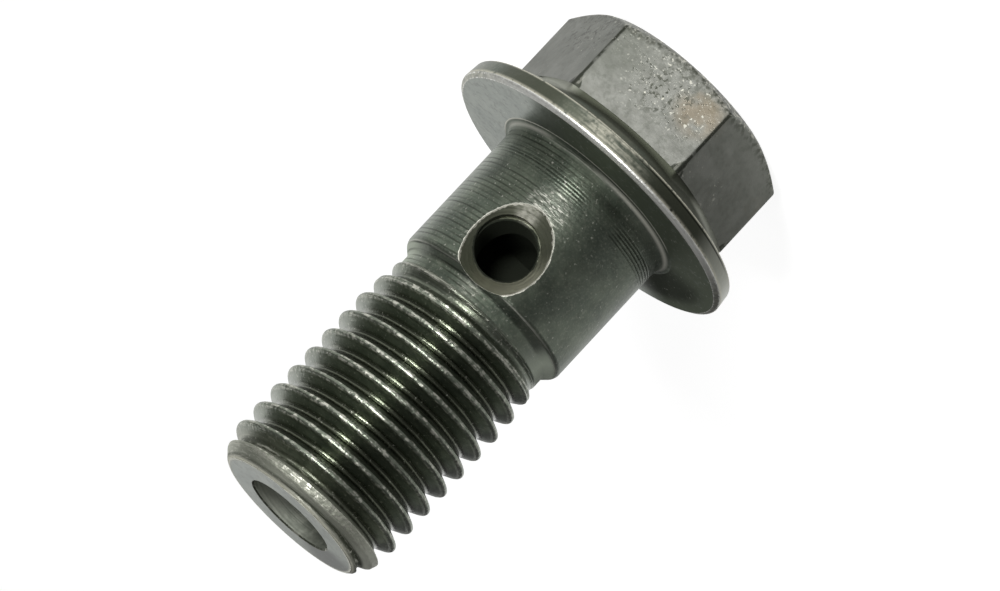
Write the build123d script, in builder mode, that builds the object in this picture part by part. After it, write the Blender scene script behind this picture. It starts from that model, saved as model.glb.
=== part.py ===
"""Banjo bolt, M10 x 1.25 x 22, with a flanged hexagon head.

One piece of steel: the head is forged, the shank turned, the thread rolled and the passages drilled.
Origin: centre of the bearing face under the flange.
+Z: along the axis of the bolt, from the head towards the threaded tip.
The cross hole opens towards -Y. Sizes are in millimetres and degrees.
"""

import math
import os

from build123d import *

# Thread. Its grooves are left out, so its zone is a plain cylinder over the crests.
NOMINAL_D = 10.0
PITCH = 1.25
THREAD_ALLOWANCE = 0.2  # taken off the basic diameters of the thread
LENGTH = 22.0  # bearing face to end face
LEAD_W = 0.9  # chamfer at the tip, across
LEAD_ANGLE = 45  # its flank, from the axis

# Neck between the shank and the thread, left as wide as the blank was before rolling
NECK_L = 0.9
RUNOUT_ANGLE = 30  # rise from the neck to the crests, from the axis

# Shank, the seat of the banjo fitting
SHANK_CLEARANCE = 0.05  # taken off the nominal diameter
SHANK_L = 8.35  # bearing face to the foot of the shoulder
SHOULDER_ANGLE = 45  # chamfer at the free end of the shank, from the axis
SHOULDER_R = 0.4  # where the chamfer leaves the shank
SEAT_R = 0.5  # fillet between the shank and the bearing face

# Hexagon
ACROSS_FLATS = 11.8
HEX_EDGE_R = 0.3
HEX_TURN = -5.5  # a forged head takes any angle to the cross hole
HEAD_H = 7.0  # bearing face to the top of the head
CROWN_W = 0.3  # crown chamfer at the middle of a flat, across
CROWN_ANGLE = 30  # crown chamfer, from the top face
CROWN_R = 0.25  # edge of the flat top

# Flange
LIP_W = 1.69  # flange beyond the corners of the hexagon
RIM_H = 1.05  # bearing face to the top edge of the rim
RIM_TAPER = 6  # the rim narrows towards the head, from the axis
RIM_R = 0.15  # top edge of the rim
CONE_ANGLE = 25  # top of the flange, from the bearing face
LAND_CHAMFER_W = 0.25  # outer edge of the bearing face, across
LAND_CHAMFER_H = 0.15  # and along the axis
FOOT_R = 0.5  # fillet between the hexagon and the top of the flange

# Oil passages
BORE_D = 4.8
BORE_OVERRUN = 0.1  # the wall of the axial bore ends this far past the cross hole
DRILL_POINT = 118
CROSS_D = 3.1
CROSS_Z = 5.85  # bearing face to the axis of the cross hole
SINK_W = 1.0  # countersink around the cross hole, where it meets the shank
SINK_ANGLE = 90

# The turned faces join in a seam well clear of the hole's mouth, which is at -90 degrees
SEAM_TURN = -15


def rise(run: float, angle: float) -> float:
    """Height gained over a run, at an angle from that run."""
    return run * math.tan(math.radians(angle))


def corner(sketch: BuildSketch, r: float, z: float) -> Vertex:
    """The corner of a profile at a radius and a height."""
    return sketch.vertices().sort_by_distance((r, z))[0]


# Radii
crest_r = (NOMINAL_D - THREAD_ALLOWANCE) / 2
neck_r = crest_r - 0.75 * math.cos(math.radians(30)) * PITCH / 2  # pitch diameter of a 60 degree thread
end_r = crest_r - LEAD_W
shank_r = (NOMINAL_D - SHANK_CLEARANCE) / 2
hex_corner_r = ACROSS_FLATS / math.sqrt(3)
flange_r = hex_corner_r + LIP_W
rim_top_r = flange_r - rise(RIM_H - LAND_CHAMFER_H, RIM_TAPER)
cone_end_r = ACROSS_FLATS / 4  # the cone runs in under the hexagon
crown_r = ACROSS_FLATS / 2 - CROWN_W
bore_r = BORE_D / 2
cross_r = CROSS_D / 2

# Levels along the axis
shoulder_z = SHANK_L - rise(shank_r - neck_r, 90 - SHOULDER_ANGLE)
runout_z = SHANK_L + NECK_L
crest_z = runout_z + rise(crest_r - neck_r, 90 - RUNOUT_ANGLE)
lead_z = LENGTH - rise(LEAD_W, 90 - LEAD_ANGLE)
cone_end_z = -RIM_H - rise(rim_top_r - cone_end_r, CONE_ANGLE)
bore_end_z = CROSS_Z - cross_r - BORE_OVERRUN
bore_tip_z = bore_end_z - rise(bore_r, 90 - DRILL_POINT / 2)

profile_plane = Plane.XZ.rotated((0, 0, SEAM_TURN))

with BuildPart() as banjo_bolt:
    # Flange, shank, neck, thread zone and tip, turned about the axis
    with BuildSketch(profile_plane) as turned:
        with BuildLine():
            Polyline(
                (0, cone_end_z),
                (cone_end_r, cone_end_z),
                (rim_top_r, -RIM_H),
                (flange_r, -LAND_CHAMFER_H),
                (flange_r - LAND_CHAMFER_W, 0),
                (shank_r, 0),
                (shank_r, shoulder_z),
                (neck_r, SHANK_L),
                (neck_r, runout_z),
                (crest_r, crest_z),
                (crest_r, lead_z),
                (end_r, LENGTH),
                (0, LENGTH),
                close=True,
            )
        make_face()
        fillet(corner(turned, rim_top_r, -RIM_H), RIM_R)
        fillet(corner(turned, shank_r, 0), SEAT_R)
        fillet(corner(turned, shank_r, shoulder_z), SHOULDER_R)
    revolve(axis=Axis.Z)

    # Hexagon, rising out of the cone of the flange, with a fillet all round its foot
    with BuildSketch(Plane.XY.offset(-RIM_H)) as hexagon:
        RegularPolygon(ACROSS_FLATS / 2, 6, major_radius=False, rotation=HEX_TURN)
        fillet(hexagon.vertices(), HEX_EDGE_R)
    extrude(amount=RIM_H - HEAD_H)
    fillet(banjo_bolt.edges(Select.NEW), FOOT_R)

    # Crown chamfer, turned off the corners of the hexagon
    with BuildSketch(profile_plane):
        with BuildLine():
            Polyline(
                (crown_r, -HEAD_H),
                (hex_corner_r, -HEAD_H),
                (hex_corner_r, -HEAD_H + rise(hex_corner_r - crown_r, CROWN_ANGLE)),
                close=True,
            )
        make_face()
    revolve(axis=Axis.Z, mode=Mode.SUBTRACT)
    fillet(banjo_bolt.edges().filter_by(GeomType.CIRCLE).sort_by(Axis.Z)[0], CROWN_R)

    # Axial bore, from the tip to just past the cross hole, with its drill point
    with BuildSketch(profile_plane):
        with BuildLine():
            Polyline((0, LENGTH), (bore_r, LENGTH), (bore_r, bore_end_z), (0, bore_tip_z), close=True)
        make_face()
    revolve(axis=Axis.Z, mode=Mode.SUBTRACT)

    # Cross hole, through one wall of the shank to the axis of the bore, and countersunk at its mouth
    with Locations(Plane(origin=(0, -shank_r, CROSS_Z), x_dir=(1, 0, 0), z_dir=(0, -1, 0))):
        CounterSinkHole(cross_r, cross_r + SINK_W, depth=shank_r, counter_sink_angle=SINK_ANGLE)

banjo_bolt.part.label = "banjo_bolt"
os.makedirs("parts", exist_ok=True)
export_step(banjo_bolt.part, "parts/banjo_bolt.step")
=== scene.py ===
"""Looks of a banjo bolt, dressed over its CAD part.

Sizes are in millimetres and degrees and the frame is the CAD's: the origin lies in the bearing face under
the flange, and +Z runs along the axis towards the threaded tip. Finished meshes are scaled to metres.
"""

import logging
import math
from dataclasses import dataclass, field
from enum import Enum, IntEnum
from functools import cached_property

import bmesh
import bpy
from mathutils import Matrix, Vector


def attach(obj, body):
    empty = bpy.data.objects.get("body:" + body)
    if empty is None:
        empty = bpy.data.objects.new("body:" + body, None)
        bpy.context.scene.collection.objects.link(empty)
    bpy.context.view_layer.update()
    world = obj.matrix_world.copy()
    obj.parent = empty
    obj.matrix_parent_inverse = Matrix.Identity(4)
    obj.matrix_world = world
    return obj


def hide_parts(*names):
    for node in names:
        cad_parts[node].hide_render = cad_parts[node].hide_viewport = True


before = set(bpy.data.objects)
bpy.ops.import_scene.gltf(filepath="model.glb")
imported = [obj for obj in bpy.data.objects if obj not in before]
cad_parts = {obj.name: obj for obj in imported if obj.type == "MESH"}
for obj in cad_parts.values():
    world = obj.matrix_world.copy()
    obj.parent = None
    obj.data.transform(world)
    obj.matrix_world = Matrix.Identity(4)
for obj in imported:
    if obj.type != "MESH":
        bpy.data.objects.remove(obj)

MM = 0.001
COLUMNS = 192  # round the axis, 32 to each flat of the hexagon
WELD = 0.002  # points nearer than this are one
NEAR = 0.001  # heights and radii nearer than this are the same
SLACK = 0.01  # room beside an edge, because a face is judged by its middle
SHARP = 35  # faces that meet at more than this have a sharp edge between them
Socket = bpy.types.NodeSocket
log = logging.getLogger("banjo_bolt")


def linear(code: str) -> tuple[float, float, float, float]:
    """Turns an sRGB hex colour into linear light, with an alpha of 1."""
    parts = [int(code[i : i + 2], 16) / 255 for i in (0, 2, 4)]
    return (*(c / 12.92 if c <= 0.04045 else ((c + 0.055) / 1.055) ** 2.4 for c in parts), 1.0)


def add_node(tree: bpy.types.NodeTree, kind: str, inputs: dict | None = None, **settings) -> bpy.types.Node:
    """Adds one node with its settings, values and links.

    Args:
        tree: the node tree that gets the node.
        kind: the node's type name, without its ShaderNode prefix.
        inputs: for each named or numbered input a value, an output socket, or a node for its first output.
        **settings: properties of the node.

    Returns:
        The node.
    """
    node = tree.nodes.new("ShaderNode" + kind)
    for name, value in settings.items():
        setattr(node, name, value)
    for key, value in (inputs or {}).items():
        if isinstance(value, bpy.types.Node):
            value = value.outputs[0]
        if isinstance(value, Socket):
            tree.links.new(value, node.inputs[key])
        else:
            node.inputs[key].default_value = value
    return node


def between(table: tuple[tuple[float, float], ...], x: float) -> float:
    """Reads a table with straight lines between its points.

    Args:
        table: points, by rising x.
        x: where to read it; past the ends it is held level.

    Returns:
        The y there.
    """
    if x <= table[0][0]:
        return table[0][1]
    for (x0, y0), (x1, y1) in zip(table, table[1:]):
        if x <= x1:
            return y0 + (y1 - y0) * (x - x0) / (x1 - x0)
    return table[-1][1]


def soft_min(a: float, b: float, reach: float) -> float:
    """The smaller of two lengths, rounded over where they come within reach of each other."""
    h = max(reach - abs(a - b), 0.0) / reach
    return min(a, b) - h * h * reach / 4


def bump(x: float, width: float) -> float:
    """A smooth hump: 1 at x = 0, falling to nothing past twice the width."""
    return math.exp(-((x / width) ** 2))


def clamp(x: float) -> float:
    """A share held between 0 and 1."""
    return max(0.0, min(1.0, x))


def rise(run: float, angle: float) -> float:
    """Height gained over a run, at an angle from that run."""
    return run * math.tan(math.radians(angle))


def aim(azimuth: float, elevation: float = 0.0) -> tuple[float, float, float]:
    """Unit vector towards an azimuth and an elevation."""
    turn, lift = math.radians(azimuth), math.radians(elevation)
    return math.cos(turn) * math.cos(lift), math.sin(turn) * math.cos(lift), math.sin(lift)


def spin_profile(points: list[tuple], axis: tuple = (0, 0, 1), steps: int = COLUMNS) -> bmesh.types.BMesh:
    """Spins an open profile once round an axis through the origin.

    Args:
        points: (radius, height) of the profile's corners, in order.
        axis: +Z, or +Y for what is drilled across.
        steps: columns in the turn.

    Returns:
        The skin, as a mesh of its own.
    """
    bm = bmesh.new()
    along = Vector(axis)
    verts = [bm.verts.new(Vector((r, 0, 0)) + along * h) for r, h in points]
    line = verts + [bm.edges.new(pair) for pair in zip(verts, verts[1:])]
    turn = {"cent": (0, 0, 0), "axis": axis, "dvec": (0, 0, 0), "angle": math.tau, "steps": steps}
    bmesh.ops.spin(bm, geom=line, use_merge=True, **turn)
    bmesh.ops.remove_doubles(bm, verts=bm.verts, dist=WELD)
    return bm


def empty_tree(owner: bpy.types.Material | bpy.types.World) -> bpy.types.NodeTree:
    """Turns on the nodes of a material or a world.

    Args:
        owner: the material or the world.

    Returns:
        Its node tree, emptied.
    """
    owner.use_nodes = True
    owner.node_tree.nodes.clear()
    return owner.node_tree


def put(name: str, data: bpy.types.ID) -> bpy.types.Object:
    """Puts a new object into the scene.

    Args:
        name: its name.
        data: its mesh, lamp or camera.

    Returns:
        The object, at the origin.
    """
    made = bpy.data.objects.new(name, data)
    bpy.context.scene.collection.objects.link(made)
    return made


def saved(bm: bmesh.types.BMesh, name: str) -> bpy.types.Mesh:
    """Writes a skin to a new mesh, and frees it.

    Args:
        bm: the skin.
        name: the mesh's name.

    Returns:
        The mesh.
    """
    mesh = bpy.data.meshes.new(name)
    bm.to_mesh(mesh)
    bm.free()
    return mesh


def gather(bm: bmesh.types.BMesh, part: bmesh.types.BMesh) -> None:
    """Moves a finished part into a mesh, and frees it.

    Args:
        bm: the mesh that gets it.
        part: the part.
    """
    carrier = saved(part, "carrier")
    bm.from_mesh(carrier)
    bpy.data.meshes.remove(carrier)


def bevel(bm: bmesh.types.BMesh, edges: list, offset: float, segments: int, held: bool = False) -> list:
    """Rounds edges.

    Args:
        bm: the mesh.
        edges: what is rounded.
        offset: how far the rounding reaches to each side.
        segments: facets across it.
        held: narrows the rounding where it would run into another edge.

    Returns:
        The new faces.
    """
    how = {"offset_type": "OFFSET", "affect": "EDGES", "profile": 0.5, "material": -1}
    made = bmesh.ops.bevel(bm, geom=edges, offset=offset, segments=segments, clamp_overlap=held, **how)
    return made["faces"]


def round_ring(bm: bmesh.types.BMesh, r: float, z: float, radius: float, turn: float, segments: int) -> None:
    """Rounds the ring of edges at a radius and a height.

    Args:
        bm: the spun mesh.
        r: radius of the ring.
        z: height of the ring.
        radius: radius of the rounding.
        turn: angle through which the profile turns there.
        segments: facets across the rounding.
    """
    on = {v for v in bm.verts if abs(math.hypot(v.co.x, v.co.y) - r) < NEAR and abs(v.co.z - z) < NEAR}
    bevel(bm, [e for e in bm.edges if on.issuperset(e.verts)], rise(radius, turn / 2), segments)


def open_ring(bm: bmesh.types.BMesh, z: float) -> list[bmesh.types.BMEdge]:
    """The open edges that lie at one height."""
    return [e for e in bm.edges if e.is_boundary and all(abs(v.co.z - z) < NEAR for v in e.verts)]


class Surface(IntEnum):
    """How each stretch of the bolt was made, which is also its material's place in the mesh."""

    FORGED = 0  # hexagon
    PRESSED = 1  # flange
    FACED = 2  # bearing face and end face
    TURNED = 3  # shank and neck
    ROLLED = 4  # thread
    DRILLED = 5  # holes and countersink
    RUBBED = 6  # sharp rims


@dataclass
class RolledThread:
    """Helical skin of the rolled thread, with its run-out at the neck and its lead at the tip."""

    pitch: float = 1.25
    crest_r: float = 4.9
    neck_r: float = 4.47
    crest_at: float = 0.412  # height of a crest at azimuth 0, less whole pitches
    foot_z: float = 9.0
    lead_z: float = 20.4  # from here on the lead takes every knock
    tip_z: float = 22.0
    # the crests fill up slowly while the dies bite in
    crest_fill: tuple = ((9.0, 4.47), (9.15, 4.60), (9.35, 4.68), (9.9, 4.76), (10.6, 4.84), (11.8, 4.9))
    root_sink: tuple = ((9.0, 4.47), (9.15, 4.41), (10.35, 4.12))
    lead: tuple = ((20.3, 4.93), (20.6, 4.87), (21.15, 4.67), (21.5, 4.53), (21.9, 4.18), (22.0, 4.0))
    # share of the depth against the distance from the crest in pitches
    flank: tuple = (
        *((0.0, 1.0), (0.045, 0.985), (0.085, 0.945), (0.12, 0.875), (0.15, 0.785), (0.20, 0.62)),
        *((0.28, 0.362), (0.345, 0.165), (0.38, 0.085), (0.42, 0.033), (0.46, 0.008), (0.5, 0.0)),
    )
    seam: float = 0.07  # depth of the valley down the middle of a crest that isn't full yet
    seam_width: float = 0.055  # of half the valley, in pitches
    seam_fade: tuple = ((9.2, 0.0), (9.7, 1.0), (10.4, 0.8), (11.4, 0.0))
    crest_blend: float = 0.05  # over which the crests pass into the lead
    lead_blend: float = 0.06  # and the skin as a whole

    def phase(self, x: float, y: float, z: float) -> float:
        """Distance of a point from the nearest crest along the axis, in pitches."""
        turns = (z - self.crest_at) / self.pitch - math.atan2(y, x) / math.tau
        return turns - round(turns)

    def crest(self, z: float) -> float:
        """Radius of the crests at a height, run-out and lead included."""
        return soft_min(between(self.crest_fill, z), between(self.lead, z), self.crest_blend)

    def radius(self, x: float, y: float, z: float) -> float:
        """Radius of the thread's surface.

        Args:
            x: of a point at the azimuth that is meant.
            y: of that point.
            z: its height.

        Returns:
            The radius there.
        """
        off = abs(self.phase(x, y, z))
        root = between(self.root_sink, z)
        top = between(self.crest_fill, z)
        r = root + (top - root) * between(self.flank, off)
        r -= self.seam * between(self.seam_fade, z) * bump(off, self.seam_width)
        return soft_min(r, between(self.lead, z), self.lead_blend)

    def skin(self) -> bmesh.types.BMesh:
        """The helical skin: a sheet wound once round the axis and stitched to its own next pitch.

        Returns:
            The skin, cut level at its foot and at its tip, as a mesh of its own.
        """
        offs = [u for u, _ in self.flank]
        pattern = sorted([-u for u in offs[1:-1]] + offs)
        first = math.floor((self.foot_z - self.crest_at) / self.pitch) - 2
        last = math.ceil((self.tip_z - self.crest_at) / self.pitch) + 1
        rows = [self.crest_at + self.pitch * (k + u) for k in range(first, last) for u in pattern]
        bm = bmesh.new()
        bmesh.ops.create_grid(bm, x_segments=COLUMNS, y_segments=len(rows) - 1, size=0.5)
        for v in bm.verts:
            turn = v.co.x + 0.5
            row = rows[round((v.co.y + 0.5) * (len(rows) - 1))]
            angle = math.tau * turn
            v.co = (math.cos(angle) * self.crest_r, math.sin(angle) * self.crest_r, row + self.pitch * turn)
        bmesh.ops.remove_doubles(bm, verts=bm.verts, dist=WELD)
        for z, up in ((self.foot_z, -1), (self.tip_z, 1)):
            everything = [*bm.verts, *bm.edges, *bm.faces]
            cut = {"plane_co": (0, 0, z), "plane_no": (0, 0, up), "dist": NEAR / 10}
            bmesh.ops.bisect_plane(bm, geom=everything, clear_outer=True, **cut)
        for v in bm.verts:
            k = self.radius(*v.co) / math.hypot(v.co.x, v.co.y)
            v.co.x *= k
            v.co.y *= k
        return bm


@dataclass
class HexagonFlange:
    """Sizes of the forged head: a hexagon that rises out of the cone of a flange."""

    across_flats: float = 11.8
    edge_r: float = 0.3
    turn: float = -5.5
    even_share: float = 0.2  # the columns are even by this share, and for the rest they crowd to the edges
    crowding: float = 2.5  # by this power
    top_z: float = -7.0
    crown_r: float = 5.6
    crown_angle: float = 30.0
    rim_r: float = 8.503
    rim_top_r: float = 8.408
    rim_top_z: float = -1.05
    land_r: float = 8.253
    land_z: float = -0.15
    cone_angle: float = 25.0
    foot_r: float = 0.22
    round_r: float = 6.2  # the wall is spun round at this radius, and then pressed to the hexagon
    held_r: float = 8.2  # from here outwards the cone stays round
    skirt: float = 0.5  # and this far out from the wall it moves with the wall
    held_z: float = -0.85  # and so does what lies above this
    wall_z: float = -3.5  # what lies below this moves with the crown chamfer
    ledge: float = 0.02  # the flats stand proud of the fillet at their foot
    ledge_w: float = 0.4  # over this width
    ledge_z: float = -2.5
    foot_z: float = -2.24  # foot of the flats at a corner
    foot_sag: float = 0.21  # and how much nearer the crown it lies at the middle of a flat
    foot_line_h: float = 0.15  # what lies this near the ledge follows that line
    flats_r: float = 7.0  # the flats lie within this radius
    crown_lip: float = 0.1  # ring round the crown chamfer that moves with the wall
    # rings of the round head that keep the form beside its edges, measured from them
    land_ring: float = 0.2
    rim_ring: float = 0.3
    cone_ring_r: float = 7.4
    ledge_rings: tuple = (0.01, -0.02, -0.14)
    crown_ring: float = 0.3
    top_ring: float = 0.5
    land_rounding: float = 0.08
    rim_rounding: float = 0.17
    rim_top_rounding: float = 0.15
    crown_rounding: float = 0.16
    top_rounding: float = 0.25

    def cone_z(self, r: float) -> float:
        """Height of the cone at a radius."""
        return self.rim_top_z - rise(self.rim_top_r - r, self.cone_angle)

    def crown_z(self, r: float) -> float:
        """Height of the crown chamfer at a radius."""
        return self.top_z + rise(r - self.crown_r, self.crown_angle)

    def outline(self) -> list[tuple[float, float]]:
        """Profile of the head while it is still round.

        Returns:
            (radius, height) of its corners, from the bearing face to the middle of the top.
        """
        crown_z = self.crown_z(self.round_r)
        cone = (self.rim_top_r - self.rim_ring, self.cone_ring_r, self.round_r)
        wall = (*(self.ledge_z + off for off in self.ledge_rings), crown_z + self.crown_ring, crown_z)
        return [
            (self.land_r - self.land_ring, 0.0),
            (self.land_r, 0.0),
            (self.rim_r, self.land_z),
            (self.rim_top_r, self.rim_top_z),
            *((r, self.cone_z(r)) for r in cone),
            *((self.round_r, z) for z in wall),
            *((r, self.top_z) for r in (self.crown_r, self.crown_r - self.top_ring, 0.0)),
        ]

    def roundings(self) -> list[tuple]:
        """Roundings of the round head: radius, height, rounding, turn of the profile, and facets."""
        return [
            (self.land_r, 0.0, self.land_rounding, 31, 2),
            (self.rim_r, self.land_z, self.rim_rounding, 53, 4),
            (self.rim_top_r, self.rim_top_z, self.rim_top_rounding, 59, 4),
            (self.round_r, self.cone_z(self.round_r), self.foot_r, 65, 5),
            (self.round_r, self.crown_z(self.round_r), self.crown_rounding, 60, 3),
            (self.crown_r, self.top_z, self.top_rounding, 30, 3),
        ]

    def corner_off(self, azimuth: float) -> float:
        """Angle from the nearest edge of the hexagon, in degrees."""
        off = azimuth - self.turn
        return off - 60 * round(off / 60)

    def wall_r(self, azimuth: float) -> float:
        """Radius of the hexagon's wall, edges rounded.

        Args:
            azimuth: where.

        Returns:
            The radius there.
        """
        off = math.radians(abs(self.corner_off(azimuth)))
        centre = (self.across_flats / 2 - self.edge_r) / math.cos(math.radians(30))
        tangent = math.atan2(self.edge_r * 0.5, centre + self.edge_r * math.cos(math.radians(30)))
        if off < tangent:
            return centre * math.cos(off) + math.sqrt(self.edge_r**2 - (centre * math.sin(off)) ** 2)
        return self.across_flats / 2 / math.cos(math.radians(30) - off)

    def crowd(self, azimuth: float) -> float:
        """Moves an even column towards the nearest edge of the hexagon, where the skin needs more of them.

        Args:
            azimuth: of the even column.

        Returns:
            Its new azimuth.
        """
        off = self.corner_off(azimuth)
        t = abs(off) / 30
        spread = self.even_share * t + (1 - self.even_share) * t**self.crowding
        return azimuth - off + math.copysign(30 * spread, off)

    def foot_line(self, azimuth: float) -> float:
        """Height of the foot of the flats, which lies nearest the crown at the middle of a flat."""
        corner, middle = self.wall_r(self.turn), self.across_flats / 2
        return self.foot_z - self.foot_sag * (corner - self.wall_r(azimuth)) / (corner - middle)

    def press(self, v: bmesh.types.BMVert) -> None:
        """Presses the round head to the hexagon, the cone and the crown.

        Args:
            v: one vertex of it.
        """
        r, z = math.hypot(v.co.x, v.co.y), v.co.z
        azimuth = self.crowd(math.degrees(math.atan2(v.co.y, v.co.x)))
        wall = self.wall_r(azimuth)
        shift = wall - self.round_r
        if z > self.held_z:
            share = angle = 0.0
        elif r > self.round_r + self.skirt:
            share = clamp((self.held_r - r) / (self.held_r - self.round_r - self.skirt))
            angle = self.cone_angle
        elif z > self.wall_z:
            share, angle = 1.0, self.cone_angle
        else:
            share = clamp((r - self.crown_r) / (self.round_r - self.crown_r - self.crown_lip))
            angle = self.crown_angle
        r, z = r + shift * share, z + rise(shift * share, angle)
        if abs(v.co.z - self.ledge_z) < self.foot_line_h:
            z = self.foot_line(azimuth) + v.co.z - self.ledge_z
        if share and v.co.z > self.ledge_z:
            r -= self.ledge * max(0.0, 1 - (r - wall) / self.ledge_w)
        out = math.radians(azimuth)
        v.co = (r * math.cos(out), r * math.sin(out), z)


@dataclass
class Shank:
    """Sizes of the turned seat of the banjo fitting and of the neck behind the thread."""

    radius: float = 4.975
    seat_r: float = 0.5
    shoulder_z: float = 7.85
    shoulder_r: float = 0.4
    neck_z: float = 8.35
    neck_fillet: float = 0.15
    join_z: float = 8.95


@dataclass
class Passages:
    """Sizes of the drilled holes."""

    bore_r: float = 2.4
    mouth_r: float = 0.08  # broken edge of the bore's mouth
    bore_end: float = 4.2
    drill_tip: float = 2.758
    cross_r: float = 1.56
    cross_at: tuple = (0.08, 5.81)  # x and z of the cross hole's axis
    cross_end: float = -1.0
    sink_r: float = 2.62  # radius of the countersink level with the shank's nearest line
    sink_at: tuple = (-0.185, 6.0)  # the countersink was cut a little off the hole
    sink_angle: float = 50.0  # its flank, from its axis
    ledge_r: float = 1.62  # the drill's shoulder bit a ledge on the side of the head
    ledge_at: tuple = (0.08, 5.70)
    ledge_y: float = -4.0
    reach: float = -6.5  # the cutters start here, clear of the shank
    rim_zs: tuple = (2.0, 9.0)  # the countersink's rim lies between these heights
    rim_near: float = 0.08  # and this near its cone

    def bore(self, tip_z: float) -> list[tuple[float, float]]:
        """Profile of the axial bore, from its mouth in the end face to its drill point."""
        mouth, edge = (self.bore_r + self.mouth_r, tip_z), (self.bore_r, tip_z - self.mouth_r)
        return [mouth, edge, (self.bore_r, self.bore_end), (0.0, self.drill_tip)]

    def cutters(self, shank_r: float) -> list[bmesh.types.BMesh]:
        """The solids that the cross hole, its ledge and its countersink take away.

        Args:
            shank_r: radius of the shank.

        Returns:
            Closed meshes along Y.
        """
        slope = math.tan(math.radians(self.sink_angle))
        wide = self.sink_r + (-self.reach - shank_r) * slope
        point = -shank_r + self.sink_r / slope
        shapes = [([(0, self.reach), (wide, self.reach), (0, point)], self.sink_at)]
        drills = ((self.cross_r, self.cross_end, self.cross_at), (self.ledge_r, self.ledge_y, self.ledge_at))
        shapes += [([(0, self.reach), (r, self.reach), (r, end), (0, end)], at) for r, end, at in drills]
        made = []
        for points, (x, z) in shapes:
            bm = spin_profile(points, axis=(0, 1, 0), steps=128)
            bmesh.ops.translate(bm, verts=bm.verts, vec=(x, 0, z))
            bmesh.ops.recalc_face_normals(bm, faces=bm.faces)
            made.append(bm)
        return made

    def sink_gap(self, x: float, y: float, z: float, shank_r: float) -> float:
        """Distance across from a point to the countersink's cone, outwards positive."""
        slope = math.tan(math.radians(self.sink_angle))
        return math.hypot(x - self.sink_at[0], z - self.sink_at[1]) - (self.sink_r - (shank_r + y) * slope)


@dataclass
class Place:
    """Where a shaded point lies on the bolt, in millimetres. Whatever is read makes its nodes just once."""

    tree: bpy.types.NodeTree
    made: dict = field(default_factory=dict)  # the patterns that have their nodes, and their values

    def of(self, pattern: "Pattern | float") -> Socket | float:
        """Reads a pattern at the place.

        Args:
            pattern: the pattern, or a plain number.

        Returns:
            The pattern's value, or the number itself.
        """
        if not isinstance(pattern, Pattern):
            return pattern
        if pattern not in self.made:
            self.made[pattern] = pattern.on(self)
        return self.made[pattern]

    @cached_property
    def point(self) -> Socket:
        """The point, from the object's own coordinates."""
        coords = add_node(self.tree, "TexCoord").outputs["Object"]
        return add_node(self.tree, "VectorMath", {0: coords, "Scale": 1 / MM}, operation="SCALE").outputs[0]

    @cached_property
    def xyz(self) -> list[Socket]:
        """Its coordinates."""
        return list(add_node(self.tree, "SeparateXYZ", {0: self.point}).outputs)

    @cached_property
    def level(self) -> Socket:
        """The point, brought down to the bearing face."""
        return add_node(self.tree, "CombineXYZ", {0: self.xyz[0], 1: self.xyz[1]}).outputs[0]

    @cached_property
    def heading(self) -> Socket:
        """Unit vector from the axis."""
        return add_node(self.tree, "VectorMath", {0: self.level}, operation="NORMALIZE").outputs[0]

    @cached_property
    def radius(self) -> Socket:
        """Distance from the axis."""
        return add_node(self.tree, "VectorMath", {0: self.level}, operation="LENGTH").outputs["Value"]

    @cached_property
    def across(self) -> Socket:
        """Distance along Y, the way that the cross hole is drilled."""
        return self.xyz[1]

    @cached_property
    def height(self) -> Socket:
        """Height above the bearing face."""
        return self.xyz[2]

    @cached_property
    def profile(self) -> Socket:
        """The point in the bolt's profile: radius and height."""
        return add_node(self.tree, "CombineXYZ", {0: self.radius, 1: self.height}).outputs[0]

    @cached_property
    def front(self) -> Socket:
        """The point as seen along the cross hole: x and z."""
        return add_node(self.tree, "CombineXYZ", {0: self.xyz[0], 1: self.xyz[2]}).outputs[0]

    @cached_property
    def wear(self) -> Socket:
        """How far the oxide is rubbed off the thread there."""
        return add_node(self.tree, "Attribute", attribute_name="wear").outputs["Fac"]


class Measure(Enum):
    """What a pattern can go by, as it is called in Place."""

    POINT = "point"
    PROFILE = "profile"
    FRONT = "front"
    RADIUS = "radius"
    ACROSS = "across"
    HEIGHT = "height"
    WEAR = "wear"


class Pattern:
    """A value at each point of the bolt: a distance, a height, or a mask that is 1 where something shows."""

    def on(self, place: Place) -> Socket:
        """Makes the pattern's nodes."""
        raise NotImplementedError

    def fade(self, low: float, high: float, top: float = 1.0, eased: bool = True) -> "Fade":
        """A step from 0 at low to top at high, or down where low is above high."""
        return Fade(self, low, high, top, eased)

    def __mul__(self, other: "Pattern | float") -> "Joined":
        """Where both masks hold, or the pattern at another strength."""
        return Joined("MULTIPLY", (self, other))

    def __or__(self, other: "Pattern") -> "Joined":
        """Where either mask holds."""
        return Joined("MAXIMUM", (self, other))

    def __add__(self, other: "Pattern | float") -> "Joined":
        """The sum of two patterns."""
        return Joined("ADD", (self, other))

    def __sub__(self, other: "Pattern | float") -> "Joined":
        """The difference of two patterns."""
        return Joined("SUBTRACT", (self, other))

    def __rsub__(self, other: float) -> "Joined":
        """A number less the pattern: 1 less a mask is where the mask doesn't hold."""
        return Joined("SUBTRACT", (other, self))

    def __abs__(self) -> "Bent":
        """How far the pattern is from 0."""
        return Bent("ABSOLUTE", self)


@dataclass(frozen=True)
class Joined(Pattern):
    """Patterns or numbers, joined one after another by one operation."""

    operation: str
    parts: tuple

    def on(self, place: Place) -> Socket:
        """Makes the nodes of each part and joins them.

        Args:
            place: the measures of the shaded point.

        Returns:
            The joined value.
        """
        out, *others = map(place.of, self.parts)
        for other in others:
            out = add_node(place.tree, "Math", {0: out, 1: other}, operation=self.operation).outputs[0]
        return out


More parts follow.
